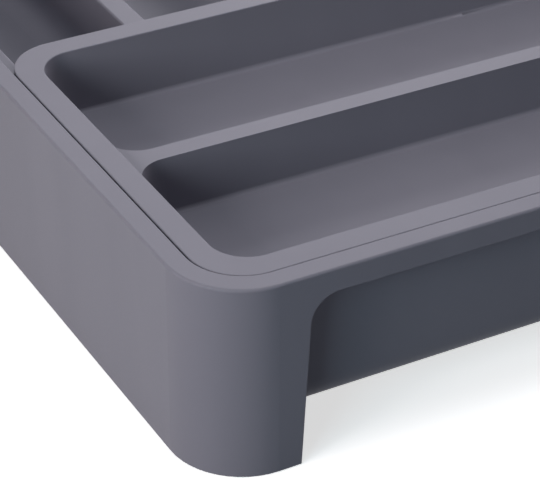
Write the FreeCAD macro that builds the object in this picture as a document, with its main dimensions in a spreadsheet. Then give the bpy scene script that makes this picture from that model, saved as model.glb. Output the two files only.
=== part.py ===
"""Two-tier cutlery tray: a moulded base tray, a shallow tray that slides along its ledges, and rubber feet.

Millimetres. +X runs along the front, +Y to the back and +Z up. The origin is under the middle of the tray, on the
surface that the feet stand on. Sketches are drawn from the front left corner of the rim, so each body is shifted by
half of the tray's width and depth.
"""
import FreeCAD, Part
import Sketcher
import math
import os

SIZES = {
    "tray_width": 317.0,  # across the rim, along X
    "tray_depth": 400.0,  # across the rim, along Y
    "tray_height": 60.3,  # from the surface to the top of the rim
    "corner_radius": 20.8,  # outer corners in plan
    "outer_draft": 2.0,  # degrees that the skirt leans in towards its lower edge
    "skirt_gap": 0.3,  # lower edge of the skirt above the surface
    "skirt_inset": 4.0,  # inner face of the skirt, from the outer edge of the rim
    "wall": 2.0,  # moulded walls and floors of the base tray
    "rim_width": 6.2,  # flat top of the outer rim
    "ledge_drop": 2.7,  # ledge below the rim
    "ledge_width": 4.45,  # ledge that the sliding tray runs on
    "seat_radius": 15.6,  # corner of the step between the rim and the ledge
    "tub_draft": 2.0,  # degrees that the walls of the compartments lean
    "floor_gap": 9.7,  # underside of the floor above the surface
    "tub_radius": 12.0,  # corners of the compartments in plan
    "floor_radius": 9.5,  # fillet between the walls and the floor of a compartment
    "tub_round": 9.5,  # lower edge of the tub's outer face
    "divider_width": 7.6,  # top of the dividers in the base tray
    "front_compartment": 95.0,  # mouth of the cross compartment, along Y
    "long_compartments": 5,  # compartments side by side behind the cross compartment
    "leg_width": 30.5,  # corner leg beside the finger arch, at the arch's spring line
    "arch_draft": 0.9,  # degrees that the leg's inner edge leans
    "arch_radius": 8.0,  # upper corners of the finger arch
    "band_height": 7.15,  # skirt left above the finger arch
    "rim_round": 0.7,  # outer edge of the rim
    "edge_round": 0.3,  # other visible edges of the base tray
    "mouth_step": 0.8,  # shelf round the mouths of the compartments
    "mouth_round": 0.7,  # edges of the compartments
    "slide_gap": 0.55,  # beside the sliding tray's rim
    "end_gap": 0.4,  # in front of the sliding tray's rim, and behind it at the end of its way
    "seat_gap": 0.2,  # under the sliding tray's rim
    "glide_gap": 0.8,  # between the sliding tray and the dividers below it
    "slider_drop": 0.3,  # sliding tray's rim below the outer rim
    "slider_depth": 132.9,  # sliding tray along Y
    "slider_height": 21.6,  # sliding tray from rim to underside
    "slider_rim_width": 7.5,  # flat top of the sliding tray's rim
    "slider_wall": 2.0,  # walls and floors of the sliding tray
    "slider_draft": 6.0,  # degrees that the outer walls of the troughs lean
    "slider_divider_draft": 3.0,  # degrees that the faces of the divider lean
    "trough_radius": 10.7,  # corners of the troughs next to the rim
    "trough_inner_radius": 9.5,  # corners of the troughs next to the divider
    "trough_floor_radius": 1.4,  # fillet between the walls and the floor of a trough
    "front_trough": 56.1,  # front trough along Y, from the rim to the divider
    "slider_divider": 6.1,  # top of the sliding tray's divider
    "slider_divider_drop": 2.2,  # divider below the sliding tray's rim
    "slider_round": 0.4,  # outer edge of the sliding tray's rim
    "opening_round": 0.3,  # inner edge of the sliding tray's rim
    "foot_diameter": 16.0,  # foot, and the tube under the floor that it is pushed into
    "foot_height": 1.5,  # foot below the tube
    "foot_stem": 5.0,  # foot inside the tube
    "foot_play": 0.15,  # around the stem of a foot
    "foot_inset": 36.0,  # foot's centre from the corner of the floor, along X and Y
    "foot_round": 0.5,  # lower edge of a foot
}

document = FreeCAD.newDocument("cutlery_tray")
sheet = document.addObject("Spreadsheet::Sheet", "Sizes")
for row, (name, value) in enumerate(SIZES.items(), start=1):
    sheet.set(f"A{row}", name)
    sheet.set(f"B{row}", str(value))
    sheet.setAlias(f"B{row}", name)
working = document.addObject("Spreadsheet::Sheet", "Working")
document.recompute()

TOLERANCE = 1e-4
QUARTER_TURN = math.pi / 2
LONG_COUNT = int(sheet.get("long_compartments"))

# Heights above the surface, as expressions of the sheet
RIM_TOP = "Sizes.tray_height"
LEDGE_TOP = "(Sizes.tray_height - Sizes.ledge_drop)"
LEDGE_UNDER = f"({LEDGE_TOP} - Sizes.wall)"
FLOOR_UNDER = "Sizes.floor_gap"
FLOOR_TOP = "(Sizes.floor_gap + Sizes.wall)"
SLIDER_TOP = "(Sizes.tray_height - Sizes.slider_drop)"
SLIDER_RIM_UNDER = f"({LEDGE_TOP} + Sizes.seat_gap)"
SLIDER_UNDER = f"({SLIDER_TOP} - Sizes.slider_height)"
TROUGH_FLOOR = f"({SLIDER_UNDER} + Sizes.slider_wall)"
TROUGH_MOUTH = f"({SLIDER_TOP} - Sizes.slider_divider_drop)"
DIVIDER_TOP = f"({SLIDER_UNDER} - Sizes.glide_gap)"
DIVIDER_HOLLOW_TOP = f"({DIVIDER_TOP} - Sizes.wall)"

# Distances from the outer edge of the rim
LEDGE_INSET = "(Sizes.rim_width + Sizes.ledge_width)"
SLIDER_SIDE = "(Sizes.rim_width + Sizes.slide_gap)"
SLIDER_FRONT = "(Sizes.rim_width + Sizes.end_gap)"
SLIDER_BACK = f"({SLIDER_FRONT} + Sizes.slider_depth)"
TUB_WALL = "(Sizes.wall / cos(Sizes.tub_draft))"
SLIDER_WALL = "(Sizes.slider_wall / cos(Sizes.slider_draft))"
SLIDER_DIVIDER_WALL = "(Sizes.slider_wall / cos(Sizes.slider_divider_draft))"


def tub_inset(height):
    """Inner face of the base tray's tub at a height."""
    return f"({LEDGE_INSET} + ({LEDGE_TOP} - {height}) * tan(Sizes.tub_draft))"


def compartment_inset(height):
    """Outer wall of a compartment at a height, from the rim's outer edge."""
    return f"({tub_inset(height)} + Sizes.mouth_step)"


def divider_spread(height):
    """Growth of each face of a base divider from its top down to a height."""
    return f"(({DIVIDER_TOP} - {height}) * tan(Sizes.tub_draft))"


def compartment_radius(height):
    """Corner of a compartment in plan at a height, so that the corners are cones."""
    return f"(Sizes.tub_radius - {divider_spread(height)})"


def divider_half(height):
    """Half of a base divider's width at a height."""
    return f"(Sizes.divider_width / 2 + {divider_spread(height)})"


def hollow_half(height):
    """Half of the width of the slot under a base divider at a height."""
    return f"({divider_half(height)} - {TUB_WALL})"


def hollow_end(height):
    """End of the slot under a base divider at a height, clear of the tub's rounded lower edge."""
    return f"({tub_inset(height)} + Sizes.floor_radius)"


def slider_inset(height):
    """Inner face of the sliding tray's outer walls at a height, from the edge of its rim."""
    return f"(Sizes.slider_rim_width + ({SLIDER_TOP} - {height}) * tan(Sizes.slider_draft))"


def slider_divider_half(height):
    """Half of the width of the sliding tray's divider at a height."""
    return f"(Sizes.slider_divider / 2 + ({TROUGH_MOUTH} - {height}) * tan(Sizes.slider_divider_draft))"


# The compartments' places in plan
MOUTH_LEFT = compartment_inset(DIVIDER_TOP)
MOUTH_WIDTH = (f"((Sizes.tray_width - 2 * {MOUTH_LEFT} - (Sizes.long_compartments - 1) * Sizes.divider_width)"
               " / Sizes.long_compartments)")
LONG_PITCH = f"({MOUTH_WIDTH} + Sizes.divider_width)"
CROSS_DIVIDER = f"({compartment_inset(DIVIDER_TOP)} + Sizes.front_compartment + Sizes.divider_width / 2)"
SLIDER_DIVIDER = f"({SLIDER_FRONT} + Sizes.slider_rim_width + Sizes.front_trough + Sizes.slider_divider / 2)"

FOOT_PLACE = f"({tub_inset(FLOOR_UNDER)} + Sizes.foot_inset)"
FOOT_ROWS = {"front": FOOT_PLACE, "middle": "Sizes.tray_depth / 2", "back": f"Sizes.tray_depth - {FOOT_PLACE}"}
FOOT_COLUMNS = {"left": FOOT_PLACE, "right": f"Sizes.tray_width - {FOOT_PLACE}"}
FOOT_BORE = "(Sizes.foot_diameter / 2 - Sizes.wall)"
FEET = {f"foot_{row}_{column}": (x, y) for row, y in FOOT_ROWS.items() for column, x in FOOT_COLUMNS.items()}


def long_left(index):
    """Left side of a long compartment, as a function of the height."""
    return lambda height: f"({MOUTH_LEFT} + {index} * {LONG_PITCH} + {divider_spread(height)})"


def long_right(index):
    """Right side of a long compartment, as a function of the height."""
    return lambda height: f"({MOUTH_LEFT} + {index} * {LONG_PITCH} + {MOUTH_WIDTH} - {divider_spread(height)})"


def number(expression):
    """Value of an expression of the sheet, worked out in a cell that nothing else reads."""
    working.set("A1", f"={expression}")
    working.recompute()
    return float(working.get("A1"))


def new_body(name):
    """A body whose sketches are drawn from the rim's front left corner."""
    body = document.addObject("PartDesign::Body", name)
    body.Label = name
    body.setExpression("Placement.Base.x", "-Sizes.tray_width / 2")
    body.setExpression("Placement.Base.y", "-Sizes.tray_depth / 2")
    return body


def new_sketch(body, name, plane, offset):
    """An empty sketch parallel to one of the body's origin planes."""
    sketch = body.newObject("Sketcher::SketchObject", name)
    support = next(item for item in body.Origin.OriginFeatures if item.Role == plane)
    sketch.AttachmentSupport = (support, [""])
    sketch.MapMode = "FlatFace"
    sketch.setExpression("AttachmentOffset.Base.z", offset)
    return sketch


def constrain(sketch, kind, *items):
    """Add a constraint whose last item is an expression of the sheet."""
    index = sketch.addConstraint(Sketcher.Constraint(kind, *items[:-1], number(items[-1])))
    sketch.setExpression(f"Constraints[{index}]", items[-1])


def rounded_outline(body, name, height, left, right, front, back, front_radius, back_radius):
    """A horizontal rectangle with rounded corners, each side and radius an expression of the sheet."""
    sketch = new_sketch(body, name, "XY_Plane", height)
    x_low, x_high, y_low, y_high = (number(side) for side in (left, right, front, back))
    radii = (number(front_radius), number(front_radius), number(back_radius), number(back_radius))
    corners = ((x_low, y_low), (x_high, y_low), (x_high, y_high), (x_low, y_high))
    inward = ((1, 1), (-1, 1), (-1, -1), (1, -1))
    centres = [FreeCAD.Vector(x + dx * r, y + dy * r, 0)
               for (x, y), (dx, dy), r in zip(corners, inward, radii)]
    up = FreeCAD.Vector(0, 0, 1)
    arcs = []
    for index, (centre, radius) in enumerate(zip(centres, radii)):
        start = (2 + index) * QUARTER_TURN
        circle = Part.Circle(centre, up, radius)
        arcs.append(sketch.addGeometry(Part.ArcOfCircle(circle, start, start + QUARTER_TURN)))
    lines = []
    for index in range(4):
        begin = sketch.getPoint(arcs[index], 2)
        end = sketch.getPoint(arcs[(index + 1) % 4], 1)
        lines.append(sketch.addGeometry(Part.LineSegment(begin, end)))
    for index in range(4):
        sketch.addConstraint(Sketcher.Constraint("Tangent", arcs[index], 2, lines[index], 1))
        sketch.addConstraint(Sketcher.Constraint("Tangent", lines[index], 2, arcs[(index + 1) % 4], 1))
        direction = "Horizontal" if index % 2 == 0 else "Vertical"
        sketch.addConstraint(Sketcher.Constraint(direction, lines[index]))
    sketch.addConstraint(Sketcher.Constraint("Equal", arcs[0], arcs[1]))
    sketch.addConstraint(Sketcher.Constraint("Equal", arcs[2], arcs[3]))
    constrain(sketch, "Radius", arcs[0], front_radius)
    constrain(sketch, "Radius", arcs[2], back_radius)
    constrain(sketch, "DistanceY", -1, 1, lines[0], 1, front)
    constrain(sketch, "DistanceX", -1, 1, lines[1], 1, right)
    constrain(sketch, "DistanceY", -1, 1, lines[2], 1, back)
    constrain(sketch, "DistanceX", -1, 1, lines[3], 1, left)
    return sketch


def inset_outline(body, name, height, inset, radius):
    """A rounded outline set in from the rim's outer edge."""
    right = f"Sizes.tray_width - {inset}"
    back = f"Sizes.tray_depth - {inset}"
    return rounded_outline(body, name, height, inset, right, inset, back, radius, radius)


def loft(body, kind, name, first, last):
    """A straight-sided loft between two outlines."""
    feature = body.newObject(f"PartDesign::{kind}Loft", name)
    feature.Profile = first
    feature.Sections = [last]
    feature.Ruled = True
    return feature


def extrude(body, kind, name, sketch, length, reverse):
    """A pad or a pocket of a sketch."""
    feature = body.newObject(f"PartDesign::{kind}", name)
    feature.Profile = sketch
    feature.setExpression("Length", length)
    feature.Reversed = reverse
    return feature


def is_within(box, outline):
    """Whether a box lies inside an outline or on it, in plan."""
    around = outline.Shape.BoundBox
    return (box.XMin > around.XMin - TOLERANCE and box.XMax < around.XMax + TOLERANCE
            and box.YMin > around.YMin - TOLERANCE and box.YMax < around.YMax + TOLERANCE)


def level_edges(height, outlines=()):
    """A test for level edges at a height, or only for those inside the given outlines."""
    level = number(height)

    def is_wanted(box):
        is_level = abs(box.ZMin - level) < TOLERANCE and abs(box.ZMax - level) < TOLERANCE
        return is_level and (not outlines or any(is_within(box, outline) for outline in outlines))

    return is_wanted


def arch_edges(y_low, y_high):
    """A test for the edges of a finger arch on the skirt's outer face, which lies between two distances."""
    front, back = number(y_low), number(y_high)
    left, right = number("Sizes.corner_radius"), number("Sizes.tray_width - Sizes.corner_radius")
    top = number("Sizes.tray_height - Sizes.band_height")
    lowest = number("Sizes.skirt_gap")

    def is_wanted(box):
        is_on_face = box.YMin > front and box.YMax < back and box.XMin > left and box.XMax < right
        return is_on_face and lowest + TOLERANCE < box.ZMax < top + TOLERANCE

    return is_wanted


def round_edges(body, name, radius, is_wanted):
    """Fillet the edges of the body whose boxes pass a test."""
    document.recompute()
    base = body.Tip
    picked = [f"Edge{index}" for index, edge in enumerate(base.Shape.Edges, start=1) if is_wanted(edge.BoundBox)]
    feature = body.newObject("PartDesign::Fillet", name)
    feature.Base = (base, picked)
    feature.setExpression("Radius", radius)
    return feature


def skirt_and_rim(body):
    """The outer skirt, hollow from below, under a flat rim with a rounded outer edge."""
    lean = "((Sizes.tray_height - Sizes.skirt_gap) * tan(Sizes.outer_draft))"
    rim_line = inset_outline(body, "skirt_rim", RIM_TOP, "0", "Sizes.corner_radius")
    foot_line = inset_outline(body, "skirt_foot", "Sizes.skirt_gap", lean, "Sizes.corner_radius")
    loft(body, "Additive", "skirt", rim_line, foot_line)
    round_edges(body, "rim_rounding", "Sizes.rim_round", level_edges(RIM_TOP))
    hollow = inset_outline(body, "hollow_line", "Sizes.skirt_gap", "Sizes.skirt_inset",
                           "Sizes.corner_radius - Sizes.skirt_inset")
    extrude(body, "Pocket", "skirt_hollow", hollow, f"{LEDGE_UNDER} - Sizes.skirt_gap", True)


def finger_arch(body, name, plane_offset, inwards):
    """An arch through the skirt, open at its lower edge, between two corner legs."""
    sketch = new_sketch(body, f"{name}_line", "XZ_Plane", plane_offset)
    top = "(Sizes.tray_height - Sizes.band_height)"
    spring = f"({top} - Sizes.arch_radius)"
    leg_foot = f"(Sizes.leg_width - {spring} * tan(Sizes.arch_draft))"
    x_foot, x_leg, x_far = number(leg_foot), number("Sizes.leg_width"), number("Sizes.tray_width")
    z_top, z_spring, radius = number(top), number(spring), number("Sizes.arch_radius")
    points = [(x_foot, 0), (x_leg, z_spring), (x_leg + radius, z_top), (x_far - x_leg - radius, z_top),
              (x_far - x_leg, z_spring), (x_far - x_foot, 0)]
    foot, left, above_left, above_right, right, far_foot = (FreeCAD.Vector(x, z, 0) for x, z in points)
    lines = [sketch.addGeometry(Part.LineSegment(start, end))
             for start, end in ((foot, left), (above_left, above_right), (right, far_foot), (far_foot, foot))]
    up = FreeCAD.Vector(0, 0, 1)
    left_circle = Part.Circle(FreeCAD.Vector(x_leg + radius, z_spring, 0), up, radius)
    right_circle = Part.Circle(FreeCAD.Vector(x_far - x_leg - radius, z_spring, 0), up, radius)
    left_arc = sketch.addGeometry(Part.ArcOfCircle(left_circle, QUARTER_TURN, 2 * QUARTER_TURN))
    right_arc = sketch.addGeometry(Part.ArcOfCircle(right_circle, 0, QUARTER_TURN))
    for joint in ((lines[0], 2, left_arc, 2), (left_arc, 1, lines[1], 1), (lines[1], 2, right_arc, 2),
                  (right_arc, 1, lines[2], 1)):
        sketch.addConstraint(Sketcher.Constraint("Tangent", *joint))
    for joint in ((lines[2], 2, lines[3], 1), (lines[3], 2, lines[0], 1)):
        sketch.addConstraint(Sketcher.Constraint("Coincident", *joint))
    sketch.addConstraint(Sketcher.Constraint("Horizontal", lines[1]))
    sketch.addConstraint(Sketcher.Constraint("Horizontal", lines[3]))
    sketch.addConstraint(Sketcher.Constraint("Equal", left_arc, right_arc))
    sketch.addConstraint(Sketcher.Constraint("PointOnObject", lines[3], 1, -1))
    constrain(sketch, "Radius", left_arc, "Sizes.arch_radius")
    constrain(sketch, "DistanceY", -1, 1, lines[1], 1, top)
    constrain(sketch, "DistanceX", -1, 1, lines[0], 1, leg_foot)
    constrain(sketch, "DistanceX", -1, 1, lines[0], 2, "Sizes.leg_width")
    constrain(sketch, "DistanceX", -1, 1, lines[2], 2, f"Sizes.tray_width - {leg_foot}")
    constrain(sketch, "DistanceX", -1, 1, lines[2], 1, "Sizes.tray_width - Sizes.leg_width")
    behind_skirt = f"(Sizes.skirt_inset + {LEDGE_INSET} - {TUB_WALL}) / 2"
    extrude(body, "Pocket", name, sketch, behind_skirt, inwards)


def tub_and_seat(body):
    """The tub that hangs inside the skirt, the step that the sliding tray sits in, and the well below it."""
    tub_lines = []
    for level, height in (("floor", FLOOR_UNDER), ("ledge", LEDGE_TOP)):
        tub_lines.append(inset_outline(body, f"tub_{level}", height, f"({tub_inset(height)} - {TUB_WALL})",
                                       f"({compartment_radius(height)} + Sizes.mouth_step + Sizes.wall)"))
    loft(body, "Additive", "tub", *tub_lines)

    seat = inset_outline(body, "seat_line", RIM_TOP, "Sizes.rim_width", "Sizes.seat_radius")
    extrude(body, "Pocket", "seat", seat, "Sizes.ledge_drop", False)
    round_edges(body, "seat_rounding", "Sizes.edge_round", level_edges(RIM_TOP, [seat]))

    well_lines = [inset_outline(body, f"well_{level}", height, tub_inset(height),
                                f"({compartment_radius(height)} + Sizes.mouth_step)")
                  for level, height in (("foot", DIVIDER_TOP), ("ledge", LEDGE_TOP))]
    loft(body, "Subtractive", "well", *well_lines)
    round_edges(body, "ledge_rounding", "Sizes.edge_round", level_edges(LEDGE_TOP, well_lines[1:]))


def compartment(body, name, left, right, front, back):
    """Hollow out one compartment; each side is a function that gives its place at a height."""
    outlines = []
    for level, height in (("floor", FLOOR_TOP), ("mouth", DIVIDER_TOP)):
        outlines.append(rounded_outline(body, f"{name}_{level}", height, left(height), right(height), front(height),
                                        back(height), compartment_radius(height), compartment_radius(height)))
    loft(body, "Subtractive", name, *outlines)
    return outlines[1]


def compartments(body):
    """One cross compartment at the front, and long ones side by side behind it, with rounded mouths and floors.

    The tub's lower edge is rounded after their floors, which keep its wall whole.
    """
    mouths = [compartment(body, "front_compartment", long_left(0), lambda z: f"Sizes.tray_width - {long_left(0)(z)}",
                          compartment_inset, lambda z: f"({CROSS_DIVIDER} - {divider_half(z)})")]
    for index in range(LONG_COUNT):
        mouths.append(compartment(body, f"long_compartment_{index + 1}", long_left(index), long_right(index),
                                  lambda z: f"({CROSS_DIVIDER} + {divider_half(z)})",
                                  lambda z: f"(Sizes.tray_depth - {compartment_inset(z)})"))
    round_edges(body, "floor_rounding", "Sizes.floor_radius", level_edges(FLOOR_TOP))
    round_edges(body, "tub_rounding", "Sizes.tub_round", level_edges(FLOOR_UNDER))
    round_edges(body, "mouth_rounding", "Sizes.mouth_round", level_edges(DIVIDER_TOP, mouths))


def rib_hollow(body, name, left, right, front, back, half):
    """A slot under a divider that leaves it one wall thick; each side is a function of the height."""
    outlines = []
    for level, height in (("foot", FLOOR_UNDER), ("top", DIVIDER_HOLLOW_TOP)):
        corner = f"({half(height)} / 2)"
        outlines.append(rounded_outline(body, f"{name}_{level}", height, left(height), right(height), front(height),
                                        back(height), corner, corner))
    loft(body, "Subtractive", name, *outlines)


def rib_hollows(body):
    """Slots under the cross divider and under each long divider, closed at the tub's walls."""
    rib_hollow(body, "cross_hollow", hollow_end, lambda z: f"(Sizes.tray_width - {hollow_end(z)})",
               lambda z: f"({CROSS_DIVIDER} - {hollow_half(z)})", lambda z: f"({CROSS_DIVIDER} + {hollow_half(z)})",
               hollow_half)
    for index in range(1, LONG_COUNT):
        centre = f"({MOUTH_LEFT} + {index} * {LONG_PITCH} - Sizes.divider_width / 2)"
        rib_hollow(body, f"long_hollow_{index}", lambda z: f"({centre} - {hollow_half(z)})",
                   lambda z: f"({centre} + {hollow_half(z)})", lambda z: CROSS_DIVIDER,
                   lambda z: f"(Sizes.tray_depth - {hollow_end(z)})", hollow_half)


def foot_circles(body, name, height, radius, places):
    """A sketch with a circle at each of the given places."""
    sketch = new_sketch(body, name, "XY_Plane", height)
    for x, y in places:
        centre = FreeCAD.Vector(number(x), number(y), 0)
        circle = sketch.addGeometry(Part.Circle(centre, FreeCAD.Vector(0, 0, 1), number(radius)))
        constrain(sketch, "Radius", circle, radius)
        constrain(sketch, "DistanceX", -1, 1, circle, 3, x)
        constrain(sketch, "DistanceY", -1, 1, circle, 3, y)
    return sketch


def foot_tubes(body):
    """Tubes that hang from the floor, one for each foot."""
    outside = foot_circles(body, "tube_line", "Sizes.foot_height", "Sizes.foot_diameter / 2", FEET.values())
    into_floor = f"{FLOOR_UNDER} + Sizes.wall / 2 - Sizes.foot_height"
    extrude(body, "Pad", "foot_tubes", outside, into_floor, False)
    inside = foot_circles(body, "bore_line", "Sizes.foot_height", FOOT_BORE, FEET.values())
    extrude(body, "Pocket", "foot_bores", inside, f"{FLOOR_UNDER} - Sizes.foot_height", True)


def base_tray():
    """The outer tray: a skirt with finger arches, a rim with a ledge, and compartments hung inside it."""
    body = new_body("base_tray")
    skirt_and_rim(body)
    finger_arch(body, "front_arch", "0", False)
    round_edges(body, "front_arch_rounding", "Sizes.edge_round", arch_edges("0", "Sizes.skirt_inset"))
    finger_arch(body, "back_arch", "-Sizes.tray_depth", True)
    round_edges(body, "back_arch_rounding", "Sizes.edge_round",
                arch_edges("Sizes.tray_depth - Sizes.skirt_inset", "Sizes.tray_depth"))
    tub_and_seat(body)
    compartments(body)
    rib_hollows(body)
    foot_tubes(body)
    return body


def trough(body, name, front, back, front_radius, back_radius):
    """Hollow out one trough of the sliding tray; front and back are functions of the height."""
    outlines = []
    for level, height in (("floor", TROUGH_FLOOR), ("mouth", TROUGH_MOUTH)):
        left = f"({SLIDER_SIDE} + {slider_inset(height)})"
        outlines.append(rounded_outline(body, f"{name}_{level}", height, left, f"(Sizes.tray_width - {left})",
                                        front(height), back(height), front_radius, back_radius))
    loft(body, "Subtractive", name, *outlines)


def sliding_tray():
    """The shallow upper tray: a flat rim that runs on the ledges, and two troughs with a low divider between."""
    body = new_body("sliding_tray")
    right = f"(Sizes.tray_width - {SLIDER_SIDE})"
    corner = "(Sizes.seat_radius - Sizes.slide_gap)"
    rim = rounded_outline(body, "rim_line", SLIDER_TOP, SLIDER_SIDE, right, SLIDER_FRONT, SLIDER_BACK, corner, corner)
    extrude(body, "Pad", "rim", rim, f"{SLIDER_TOP} - {SLIDER_RIM_UNDER}", True)
    round_edges(body, "slider_rim_rounding", "Sizes.slider_round", level_edges(SLIDER_TOP))

    def wall_line(name, height, thickness, radius):
        inset = f"({slider_inset(height)} - {thickness})"
        side = f"({SLIDER_SIDE} + {inset})"
        return rounded_outline(body, name, height, side, f"(Sizes.tray_width - {side})", f"({SLIDER_FRONT} + {inset})",
                               f"({SLIDER_BACK} - {inset})", radius, radius)

    shell_radius = "Sizes.trough_radius + Sizes.slider_wall"
    inside_rim = f"(({SLIDER_TOP} + {SLIDER_RIM_UNDER}) / 2)"
    loft(body, "Additive", "shell", wall_line("shell_foot", SLIDER_UNDER, SLIDER_WALL, shell_radius),
         wall_line("shell_top", inside_rim, SLIDER_WALL, shell_radius))
    round_edges(body, "shell_rounding", "Sizes.trough_floor_radius + Sizes.slider_wall", level_edges(SLIDER_UNDER))

    opening_foot = wall_line("opening_foot", TROUGH_MOUTH, "0", "Sizes.trough_radius")
    opening_top = wall_line("opening_top", SLIDER_TOP, "0", "Sizes.trough_radius")
    loft(body, "Subtractive", "opening", opening_foot, opening_top)
    round_edges(body, "opening_rounding", "Sizes.opening_round", level_edges(SLIDER_TOP, [opening_top]))

    trough(body, "front_trough", lambda z: f"({SLIDER_FRONT} + {slider_inset(z)})",
           lambda z: f"({SLIDER_DIVIDER} - {slider_divider_half(z)})", "Sizes.trough_radius",
           "Sizes.trough_inner_radius")
    trough(body, "back_trough", lambda z: f"({SLIDER_DIVIDER} + {slider_divider_half(z)})",
           lambda z: f"({SLIDER_BACK} - {slider_inset(z)})", "Sizes.trough_inner_radius", "Sizes.trough_radius")
    round_edges(body, "trough_floor_rounding", "Sizes.trough_floor_radius", level_edges(TROUGH_FLOOR))

    hollow_lines = []
    for level, height in (("foot", SLIDER_UNDER), ("top", f"({TROUGH_MOUTH} - Sizes.slider_wall)")):
        half = f"({slider_divider_half(height)} - {SLIDER_DIVIDER_WALL})"
        left = f"({SLIDER_SIDE} + {slider_inset(height)} + Sizes.trough_floor_radius)"
        hollow_lines.append(rounded_outline(body, f"divider_hollow_{level}", height, left,
                                            f"(Sizes.tray_width - {left})", f"({SLIDER_DIVIDER} - {half})",
                                            f"({SLIDER_DIVIDER} + {half})", f"({half} / 2)", f"({half} / 2)"))
    loft(body, "Subtractive", "divider_hollow", *hollow_lines)
    return body


def foot(name, place):
    """A rubber foot: a disc with a rounded lower edge, and a stem that is pushed into the tube above it."""
    body = new_body(name)
    disc = foot_circles(body, f"{name}_disc_line", "0", "Sizes.foot_diameter / 2", [place])
    extrude(body, "Pad", f"{name}_disc", disc, "Sizes.foot_height", False)
    round_edges(body, f"{name}_rounding", "Sizes.foot_round", level_edges("0"))
    stem = foot_circles(body, f"{name}_stem_line", "Sizes.foot_height", f"{FOOT_BORE} - Sizes.foot_play", [place])
    extrude(body, "Pad", f"{name}_stem", stem, "Sizes.foot_stem", False)
    return body


pieces = [base_tray(), sliding_tray()]
pieces += [foot(name, place) for name, place in FEET.items()]
document.recompute()
for item in document.Objects:
    if "Invalid" in item.State or "Error" in item.State:
        raise RuntimeError(f"{item.Name} failed: {item.State}")
for piece in pieces:
    if piece.Shape.isNull() or not piece.Shape.isValid() or len(piece.Shape.Solids) != 1:
        raise RuntimeError(f"{piece.Label} is not one valid solid")
os.makedirs("parts", exist_ok=True)
for piece in pieces:
    piece.Shape.exportStep(f"parts/{piece.Label}.step")
    print(piece.Label, round(piece.Shape.Volume), piece.Shape.BoundBox)
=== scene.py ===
# %% [markdown]
# # A two-tier cutlery tray
# The tray is two plastic mouldings and six rubber feet. A deep base tray carries a shallow tray
# that slides on ledges just below its rim. Their solids come from the CAD model, which already has
# every wall, fillet and finger arch, so this lesson leaves those shapes alone. It gives them their
# finishes, makes the feet in more detail, and sets up the light, the floor and the camera. All
# lengths are in metres, in the frame of the CAD model: +X to the right along the front, +Y to the
# back and +Z up.

# %% Load the CAD model
import math

import bmesh
import bpy
from mathutils import Matrix, Vector


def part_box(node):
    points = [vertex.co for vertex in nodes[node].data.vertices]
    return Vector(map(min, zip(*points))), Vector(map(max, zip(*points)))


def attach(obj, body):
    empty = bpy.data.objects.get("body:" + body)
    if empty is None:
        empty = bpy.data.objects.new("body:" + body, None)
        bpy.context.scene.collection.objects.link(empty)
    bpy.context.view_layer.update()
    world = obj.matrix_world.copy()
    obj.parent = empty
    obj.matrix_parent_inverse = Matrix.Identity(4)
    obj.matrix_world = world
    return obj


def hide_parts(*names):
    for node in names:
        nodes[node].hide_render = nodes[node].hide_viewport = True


MM = 0.001

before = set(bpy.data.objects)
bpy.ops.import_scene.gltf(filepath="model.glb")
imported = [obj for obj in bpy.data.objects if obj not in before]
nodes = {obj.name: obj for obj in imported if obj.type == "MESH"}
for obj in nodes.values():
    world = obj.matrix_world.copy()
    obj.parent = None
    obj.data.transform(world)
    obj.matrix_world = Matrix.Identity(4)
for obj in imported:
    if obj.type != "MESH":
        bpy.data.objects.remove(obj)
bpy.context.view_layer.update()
print("CAD pieces:", sorted(nodes))

# %% [markdown]
# ## The texture of the mould
# A tray like this comes out of a steel mould whose faces were etched, so that the plastic isn't
# shiny and hides fingerprints. Up close it is covered in a fine, even grain. The plastic also cools
# a little unevenly while it flows, and that leaves long, very faint streaks in its tone. Both could
# be painted on an image, but an image needs a UV map and has a fixed sharpness. Noise textures on
# Object coordinates need neither, so they are used here. A noise texture is scaled by a number, not
# by a length, so the group turns each length into how often it goes into a metre. Both effects go
# into one node group, because the plastic and the rubber share them and only the sizes differ.

# %% Make the mould texture group
GRAIN_DETAIL = 2.0
STREAK_DETAIL = 1.0
STREAK_BEND = 0.4
STREAK_WIDTH = 18 * MM


def float_socket(group, name, way):
    """A number on the outside of a node group."""
    return group.interface.new_socket(name, in_out=way, socket_type="NodeSocketFloat")


def per_metre(group, length):
    """How many times a length goes into a metre, which is the scale that a noise texture needs."""
    divide = group.nodes.new("ShaderNodeMath")
    divide.operation = "DIVIDE"
    divide.inputs[0].default_value = 1.0
    group.links.new(length, divide.inputs[1])
    return divide.outputs["Value"]


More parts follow.
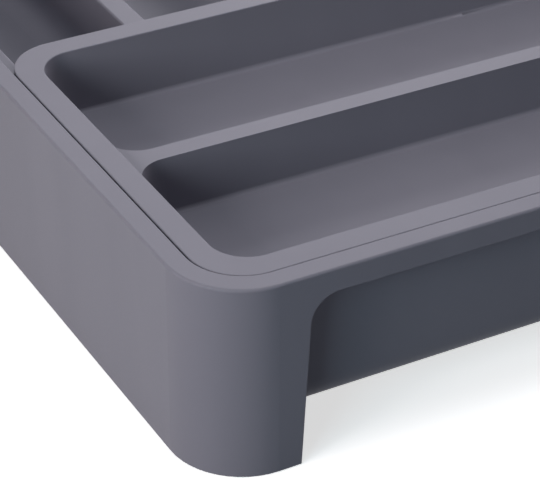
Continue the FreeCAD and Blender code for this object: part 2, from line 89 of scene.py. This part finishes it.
def make_mould_texture():
    """Fine grain and long upright streaks, each from 0 to 1, at a place on the piece."""
    group = bpy.data.node_groups.new("mould_texture", "ShaderNodeTree")
    group.interface.new_socket("Place", in_out="INPUT", socket_type="NodeSocketVector")
    float_socket(group, "Grain Size", "INPUT")
    float_socket(group, "Streak Width", "INPUT")
    float_socket(group, "Streak Length", "INPUT")
    float_socket(group, "Grain", "OUTPUT")
    float_socket(group, "Streaks", "OUTPUT")
    inside = group.nodes.new("NodeGroupInput")
    outside = group.nodes.new("NodeGroupOutput")

    grain = group.nodes.new("ShaderNodeTexNoise")
    grain.inputs["Detail"].default_value = GRAIN_DETAIL
    group.links.new(inside.outputs["Place"], grain.inputs["Vector"])
    group.links.new(per_metre(group, inside.outputs["Grain Size"]), grain.inputs["Scale"])
    group.links.new(grain.outputs["Fac"], outside.inputs["Grain"])

    across = per_metre(group, inside.outputs["Streak Width"])
    along = per_metre(group, inside.outputs["Streak Length"])
    scales = group.nodes.new("ShaderNodeCombineXYZ")
    for axis, scale in (("X", across), ("Y", across), ("Z", along)):
        group.links.new(scale, scales.inputs[axis])
    stretch = group.nodes.new("ShaderNodeVectorMath")
    stretch.operation = "MULTIPLY"
    group.links.new(inside.outputs["Place"], stretch.inputs[0])
    group.links.new(scales.outputs["Vector"], stretch.inputs[1])
    streaks = group.nodes.new("ShaderNodeTexNoise")
    streaks.inputs["Scale"].default_value = 1.0
    streaks.inputs["Detail"].default_value = STREAK_DETAIL
    streaks.inputs["Distortion"].default_value = STREAK_BEND
    group.links.new(stretch.outputs["Vector"], streaks.inputs["Vector"])
    group.links.new(streaks.outputs["Fac"], outside.inputs["Streaks"])
    return group


mould_texture = make_mould_texture()
print("mould texture group:", len(mould_texture.nodes), "nodes")

# %% [markdown]
# ## The finishes
# The mouldings are a grey polypropylene with a touch of violet, coloured all through, and the feet
# are a darker rubber. Each finish is a Principled BSDF. Its colour runs between two close tones
# with the streaks, its roughness varies with the grain, and the grain also drives a Bump node, so
# that highlights break up as they do on the etched surface. A number that is the same all over a
# piece, such as how strongly it reflects, is set straight on the shader. The two trays differ only
# in the length of their streaks, because the base is much deeper than the tray that slides.

# %% Make the plastic and the rubber
NOISE_LOW, NOISE_HIGH = 0.25, 0.75  # nearly all of a noise texture's values lie between these
ROUGHNESS_SWING = 0.04
BUMP_STRENGTH = 0.3


def linear(red, green, blue):
    """A colour as read from a picture, turned into the linear light that shaders use."""
    def channel(value):
        share = value / 255
        return share / 12.92 if share <= 0.04045 else ((share + 0.055) / 1.055) ** 2.4
    return (channel(red), channel(green), channel(blue), 1.0)


def spread(tree, noise, low, high):
    """A noise texture's value, spread between two others."""
    node = tree.nodes.new("ShaderNodeMapRange")
    node.inputs["From Min"].default_value = NOISE_LOW
    node.inputs["From Max"].default_value = NOISE_HIGH
    node.inputs["To Min"].default_value = low
    node.inputs["To Max"].default_value = high
    tree.links.new(noise, node.inputs["Value"])
    return node.outputs["Result"]


def moulded_finish(name, dark, light, roughness, reflection, grain_size, grain_height,
                   streak_length):
    """A moulded, etched surface between two tones."""
    material = bpy.data.materials.new(name)
    material.use_nodes = True
    tree = material.node_tree
    shader = tree.nodes["Principled BSDF"]
    shader.inputs["Specular IOR Level"].default_value = reflection
    place = tree.nodes.new("ShaderNodeTexCoord")
    texture = tree.nodes.new("ShaderNodeGroup")
    texture.node_tree = mould_texture
    texture.inputs["Grain Size"].default_value = grain_size
    texture.inputs["Streak Width"].default_value = STREAK_WIDTH
    texture.inputs["Streak Length"].default_value = streak_length
    tree.links.new(place.outputs["Object"], texture.inputs["Place"])

    tones = tree.nodes.new("ShaderNodeMix")
    tones.data_type = "RGBA"
    tones.inputs["A"].default_value = dark
    tones.inputs["B"].default_value = light
    tree.links.new(spread(tree, texture.outputs["Streaks"], 0.0, 1.0), tones.inputs["Factor"])
    tree.links.new(tones.outputs["Result"], shader.inputs["Base Color"])

    rough = spread(tree, texture.outputs["Grain"],
                   roughness - ROUGHNESS_SWING, roughness + ROUGHNESS_SWING)
    tree.links.new(rough, shader.inputs["Roughness"])
    bump = tree.nodes.new("ShaderNodeBump")
    bump.inputs["Strength"].default_value = BUMP_STRENGTH
    bump.inputs["Distance"].default_value = grain_height
    tree.links.new(texture.outputs["Grain"], bump.inputs["Height"])
    tree.links.new(bump.outputs["Normal"], shader.inputs["Normal"])
    return material


PLASTIC_LOOK = dict(dark=linear(126, 124, 134), light=linear(129, 127, 137), roughness=0.5,
                    reflection=0.12, grain_size=0.4 * MM, grain_height=0.04 * MM)
RUBBER_LOOK = dict(dark=linear(50, 50, 53), light=linear(56, 56, 59), roughness=0.75,
                   reflection=0.3, grain_size=0.6 * MM, grain_height=0.08 * MM)

plastic = {
    "base_tray": moulded_finish("base_plastic", streak_length=120 * MM, **PLASTIC_LOOK),
    "sliding_tray": moulded_finish("slider_plastic", streak_length=90 * MM, **PLASTIC_LOOK),
}
rubber = moulded_finish("foot_rubber", streak_length=20 * MM, **RUBBER_LOOK)
for name, material in plastic.items():
    nodes[name].data.materials.clear()
    nodes[name].data.materials.append(material)
print("finishes:", [material.name for material in (*plastic.values(), rubber)])

# %% [markdown]
# ## The rubber feet
# Each foot is a rubber disc on a stem, and the stem is pushed into a tube under the tray's floor.
# Rings in the disc's underside let it grip a drawer's bottom. A foot is a round shape, so one
# section is drawn from its middle to its rim and spun about the middle. The rings are grooves cut
# upwards into the disc, which leaves the height of the CAD model's foot as it is.

# %% Spin one foot
DISC_HEIGHT = 1.5 * MM
STEM_RADIUS = 5.85 * MM
RING_COUNT = 4
RING_DEPTH = 0.35 * MM
# A groove's corners: how far along, as a share of the distance between rings, and how deep.
GROOVE = ((0.0, 0.0), (0.2, RING_DEPTH), (0.5, RING_DEPTH), (0.7, 0.0))
FIRST_RING = 0.5  # where the first groove starts, as a share of the same distance
EDGE_ROUND = 0.5 * MM
EDGE_STEPS = 5
SPIN_STEPS = 40
SAME_POINT = 1e-6

foot_names = sorted(name for name in nodes if name.startswith("foot_"))
foot_low, foot_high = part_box(foot_names[0])
foot_radius = (foot_high.x - foot_low.x) / 2
foot_height = foot_high.z - foot_low.z


def foot_section():
    """Half of the foot's section: the ringed underside, the rounded edge, the disc and the stem."""
    pitch = (foot_radius - EDGE_ROUND) / (RING_COUNT + FIRST_RING)
    points = [(0.0, 0.0)]
    for ring in range(RING_COUNT):
        start = (ring + FIRST_RING) * pitch
        points += [(start + share * pitch, depth) for share, depth in GROOVE]
    for step in range(EDGE_STEPS + 1):
        turn = math.pi / 2 * step / EDGE_STEPS
        points.append((foot_radius - EDGE_ROUND * (1 - math.sin(turn)),
                       EDGE_ROUND * (1 - math.cos(turn))))
    return points + [(foot_radius, DISC_HEIGHT), (STEM_RADIUS, DISC_HEIGHT),
                     (STEM_RADIUS, foot_height), (0.0, foot_height)]


def spin_section(name, section):
    """A closed mesh made by turning a section of (radius, height) points about the vertical."""
    shape = bmesh.new()
    corners = [shape.verts.new((radius, 0.0, height)) for radius, height in section]
    edges = [shape.edges.new(pair) for pair in zip(corners, corners[1:])]
    bmesh.ops.spin(shape, geom=corners + edges, axis=(0, 0, 1), cent=(0, 0, 0),
                   angle=2 * math.pi, steps=SPIN_STEPS)
    bmesh.ops.remove_doubles(shape, verts=shape.verts, dist=SAME_POINT)
    bmesh.ops.recalc_face_normals(shape, faces=shape.faces)
    mesh = bpy.data.meshes.new(name)
    shape.to_mesh(mesh)
    shape.free()
    return mesh


one_foot = bpy.data.objects.new("one_foot", spin_section("one_foot", foot_section()))
one_foot.data.materials.append(rubber)
print("one foot:", len(one_foot.data.polygons), "faces,", round(foot_height / MM, 2), "mm high")

# %% [markdown]
# ## Six feet from one
# The feet repeat, so Geometry Nodes put the one foot on a point under each tube. The points come
# from the CAD feet's own boxes. The tree ends in Realize Instances and Set Material, and its result
# is turned into a plain mesh, which takes the place of the six CAD feet and rides on the base.

# %% Place the feet
def make_feet_tree():
    """A Geometry Nodes tree that puts a foot on every point."""
    tree = bpy.data.node_groups.new("feet_on_points", "GeometryNodeTree")
    tree.interface.new_socket("Points", in_out="INPUT", socket_type="NodeSocketGeometry")
    tree.interface.new_socket("Foot", in_out="INPUT", socket_type="NodeSocketObject")
    tree.interface.new_socket("Finish", in_out="INPUT", socket_type="NodeSocketMaterial")
    tree.interface.new_socket("Feet", in_out="OUTPUT", socket_type="NodeSocketGeometry")
    inside = tree.nodes.new("NodeGroupInput")
    outside = tree.nodes.new("NodeGroupOutput")
    shape = tree.nodes.new("GeometryNodeObjectInfo")
    place = tree.nodes.new("GeometryNodeInstanceOnPoints")
    realize = tree.nodes.new("GeometryNodeRealizeInstances")
    finish = tree.nodes.new("GeometryNodeSetMaterial")
    tree.links.new(inside.outputs["Foot"], shape.inputs["Object"])
    tree.links.new(inside.outputs["Points"], place.inputs["Points"])
    tree.links.new(shape.outputs["Geometry"], place.inputs["Instance"])
    tree.links.new(place.outputs["Instances"], realize.inputs["Geometry"])
    tree.links.new(realize.outputs["Geometry"], finish.inputs["Geometry"])
    tree.links.new(inside.outputs["Finish"], finish.inputs["Material"])
    tree.links.new(finish.outputs["Geometry"], outside.inputs["Feet"])
    return tree


def set_input(modifier, name, value):
    """Set a Geometry Nodes input by the identifier behind its name."""
    sockets = modifier.node_group.interface.items_tree
    modifier[next(item.identifier for item in sockets if item.name == name)] = value


def foot_point(name):
    """The middle of a CAD foot's underside."""
    low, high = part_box(name)
    return ((low.x + high.x) / 2, (low.y + high.y) / 2, low.z)


points = bpy.data.meshes.new("foot_points")
points.from_pydata([foot_point(name) for name in foot_names], [], [])
feet = bpy.data.objects.new("rubber_feet", points)
bpy.context.scene.collection.objects.link(feet)
modifier = feet.modifiers.new("feet", "NODES")
modifier.node_group = make_feet_tree()
set_input(modifier, "Foot", one_foot)
set_input(modifier, "Finish", rubber)
evaluated = feet.evaluated_get(bpy.context.evaluated_depsgraph_get())
plain_mesh = bpy.data.meshes.new_from_object(evaluated)
feet.modifiers.clear()
feet.data = plain_mesh
bpy.data.objects.remove(one_foot)
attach(feet, "base")
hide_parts(*foot_names)
print("rubber feet:", len(plain_mesh.polygons), "faces in",
      [slot.name for slot in feet.material_slots])

# %% [markdown]
# ## The floor and the background
# The photograph is a studio shot on white. The floor is a pale plane, and to the camera it also
# glows, so that its lit part reaches white with no more light on the object. Its diffuse part still
# darkens in the tray's shadow. Reflections see the same white floor. To the light that the floor
# throws back on the tray it is a cool mid grey, because in the photograph little light comes up to
# the front wall. The world is white to the camera and in reflections too, and gives only a dim,
# cool fill to everything else.

# %% Make the floor and the world
FLOOR_HALF = 1.0
FLOOR_GLOW = 0.665
FLOOR_SHADE = 0.92
FLOOR_BOUNCE = linear(128, 134, 144)
FILL_COLOUR = linear(170, 220, 255)
FILL_STRENGTH = 0.015
WHITE = (1, 1, 1, 1)


def seen_directly(tree):
    """1 for rays from the camera, from mirror-like surfaces and through glass, 0 for the rest."""
    path = tree.nodes.new("ShaderNodeLightPath")
    seen = path.outputs["Is Camera Ray"]
    for ray in ("Is Glossy Ray", "Is Transmission Ray"):
        either = tree.nodes.new("ShaderNodeMath")
        either.operation = "MAXIMUM"
        tree.links.new(seen, either.inputs[0])
        tree.links.new(path.outputs[ray], either.inputs[1])
        seen = either.outputs["Value"]
    return seen


def make_floor():
    """A wide pale plane under the feet."""
    mesh = bpy.data.meshes.new("floor")
    corners = [(-FLOOR_HALF, -FLOOR_HALF, 0), (FLOOR_HALF, -FLOOR_HALF, 0),
               (FLOOR_HALF, FLOOR_HALF, 0), (-FLOOR_HALF, FLOOR_HALF, 0)]
    mesh.from_pydata(corners, [], [(0, 1, 2, 3)])
    floor = bpy.data.objects.new("floor", mesh)
    bpy.context.scene.collection.objects.link(floor)
    material = bpy.data.materials.new("studio_floor")
    material.use_nodes = True
    tree = material.node_tree
    tree.nodes.remove(tree.nodes["Principled BSDF"])
    bounce = tree.nodes.new("ShaderNodeBsdfDiffuse")
    bounce.inputs["Color"].default_value = FLOOR_BOUNCE
    shade = tree.nodes.new("ShaderNodeBsdfDiffuse")
    shade.inputs["Color"].default_value = (FLOOR_SHADE, FLOOR_SHADE, FLOOR_SHADE, 1)
    glow = tree.nodes.new("ShaderNodeEmission")
    glow.inputs["Strength"].default_value = FLOOR_GLOW
    studio = tree.nodes.new("ShaderNodeAddShader")
    choose = tree.nodes.new("ShaderNodeMixShader")
    tree.links.new(shade.outputs["BSDF"], studio.inputs[0])
    tree.links.new(glow.outputs["Emission"], studio.inputs[1])
    tree.links.new(seen_directly(tree), choose.inputs["Fac"])
    tree.links.new(bounce.outputs["BSDF"], choose.inputs[1])
    tree.links.new(studio.outputs["Shader"], choose.inputs[2])
    tree.links.new(choose.outputs["Shader"], tree.nodes["Material Output"].inputs["Surface"])
    mesh.materials.append(material)
    return floor


def make_world():
    """White where it is seen, and a dim cool fill for the object."""
    world = bpy.data.worlds.new("studio")
    world.use_nodes = True
    bpy.context.scene.world = world
    tree = world.node_tree
    fill = tree.nodes["Background"]
    fill.inputs["Color"].default_value = FILL_COLOUR
    fill.inputs["Strength"].default_value = FILL_STRENGTH
    white = tree.nodes.new("ShaderNodeBackground")
    white.inputs["Color"].default_value = WHITE
    choose = tree.nodes.new("ShaderNodeMixShader")
    tree.links.new(seen_directly(tree), choose.inputs["Fac"])
    tree.links.new(fill.outputs["Background"], choose.inputs[1])
    tree.links.new(white.outputs["Background"], choose.inputs[2])
    tree.links.new(choose.outputs["Shader"], tree.nodes["World Output"].inputs["Surface"])


floor = make_floor()
make_world()
print("floor:", 2 * FLOOR_HALF, "m wide")

# %% [markdown]
# ## The light
# In the photograph the rims are brightest, the left wall is a little darker, and the front and the
# trough walls are in cool shade. So most light comes from above, from the right and from behind on
# the right, which reaches the rims and the trough floors but not the walls that face the camera. A
# warm softbox on the left lights the left wall and wraps round the corner, and a weaker cool one
# beside it opens up the shade. All are wide, so that no shadow has a hard edge, and each is turned
# to the front left corner of the tray, which is what the camera sees.

# %% Hang the softboxes
AIM = Vector((-0.08, -0.12, 0.04))


def softbox(name, place, width, power, colour):
    """A square area lamp that faces the front left corner of the tray."""
    lamp = bpy.data.lights.new(name, "AREA")
    lamp.shape = "SQUARE"
    lamp.size = width
    lamp.energy = power
    lamp.color = colour[:3]
    holder = bpy.data.objects.new(name, lamp)
    holder.location = place
    holder.rotation_euler = (AIM - Vector(place)).to_track_quat("-Z", "Y").to_euler()
    holder.visible_camera = False
    bpy.context.scene.collection.objects.link(holder)
    return holder


lamps = [
    softbox("left_softbox", place=(-0.95, -0.30, 0.40), width=0.45, power=4.2,
            colour=linear(255, 232, 224)),
    softbox("fill_softbox", place=(-0.80, -0.55, 0.35), width=0.40, power=2.7,
            colour=linear(214, 244, 255)),
    softbox("back_softbox", place=(0.75, 1.20, 0.73), width=0.60, power=10.0,
            colour=linear(248, 246, 255)),
    softbox("right_softbox", place=(1.60, 0.30, 0.75), width=1.00, power=14.0,
            colour=linear(250, 246, 252)),
    softbox("overhead_softbox", place=(-0.10, -0.15, 1.80), width=0.60, power=10.0,
            colour=linear(246, 250, 255)),
]
print("softboxes:", [lamp.name for lamp in lamps])

# %% [markdown]
# ## The camera
# The photograph was taken with a long lens close to the front left corner. The place, the aim and
# the small tilt were solved from the straight edges of the rim, the leg and the troughs, so the
# render lines up with the picture.

# %% Place the camera
CAMERA_PLACE = Vector((-0.38232, -0.62601, 0.39308))
CAMERA_AIM = Vector((-0.12979, -0.18073, 0.0603))
CAMERA_TILT = math.radians(1.048)
CAMERA_LENS = 162.0
NEAREST_SEEN = 0.01

camera = bpy.data.objects.new("camera", bpy.data.cameras.new("camera"))
camera.data.lens = CAMERA_LENS
camera.data.clip_start = NEAREST_SEEN
facing = (CAMERA_AIM - CAMERA_PLACE).to_track_quat("-Z", "Y").to_matrix().to_4x4()
tilt = Matrix.Rotation(CAMERA_TILT, 4, "Z")
camera.matrix_world = Matrix.Translation(CAMERA_PLACE) @ facing @ tilt
bpy.context.scene.collection.objects.link(camera)
bpy.context.scene.camera = camera
bpy.context.scene.view_settings.view_transform = "Standard"
print("camera distance:", round((CAMERA_AIM - CAMERA_PLACE).length, 3), "m")
